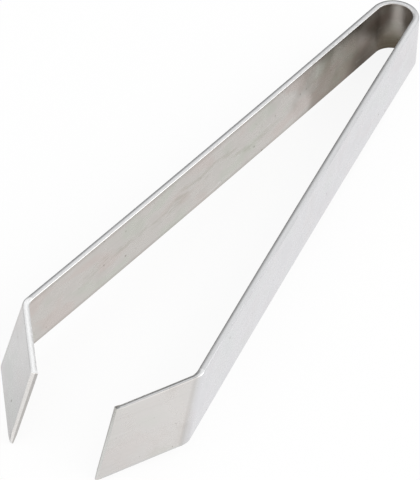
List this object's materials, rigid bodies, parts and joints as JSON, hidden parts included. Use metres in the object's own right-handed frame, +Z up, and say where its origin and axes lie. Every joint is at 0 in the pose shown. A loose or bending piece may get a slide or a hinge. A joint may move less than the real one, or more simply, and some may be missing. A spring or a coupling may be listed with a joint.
{
  "type": "fish bone tweezers",
  "caption": "Sprung tweezers bent from a flat steel strip: U-shaped bow, long arms, and blades folded inward on a slant for pulling bones from fish.",
  "frame": {"origin": "bottom centre of the box, on the surface that the tweezers stand on", "axes": "+Z up across the strip's width, -Y along the arms to the blades, +Y to the bow, +X to the right arm"},
  "size_m": [0.0438, 0.1496, 0.016],
  "materials": {
    "bow_steel": "satin stainless steel, tumbled, darker inside the bow where it reflects itself",
    "arm_steel": "satin stainless steel with faint mottling, fine specks and hairline scratches",
    "blade_steel": "satin stainless steel with a bright ground facet on its cut edge"
  },
  "bodies": {
    "bow": {"spring_bow": "bow_steel"},
    "left_side": {"left_arm": "arm_steel", "left_grip_blade": "blade_steel"},
    "right_side": {"right_arm": "arm_steel", "right_grip_blade": "blade_steel"}
  },
  "joints": [
    {"name": "left_arm_squeeze", "type": "hinge", "parent": "bow", "child": "left_side", "pos_m": [-0.00482, 0.06962, 0.0066], "axis": [0, 0.0226, 0.9997], "range_deg": [0, 3.69], "stiffness_Nm_per_rad": 13.1},
    {"name": "right_arm_squeeze", "type": "hinge", "parent": "bow", "child": "right_side", "pos_m": [0.00482, 0.06962, 0.0066], "axis": [0, -0.0226, -0.9997], "range_deg": [0, 3.69], "stiffness_Nm_per_rad": 13.1}
  ]
}
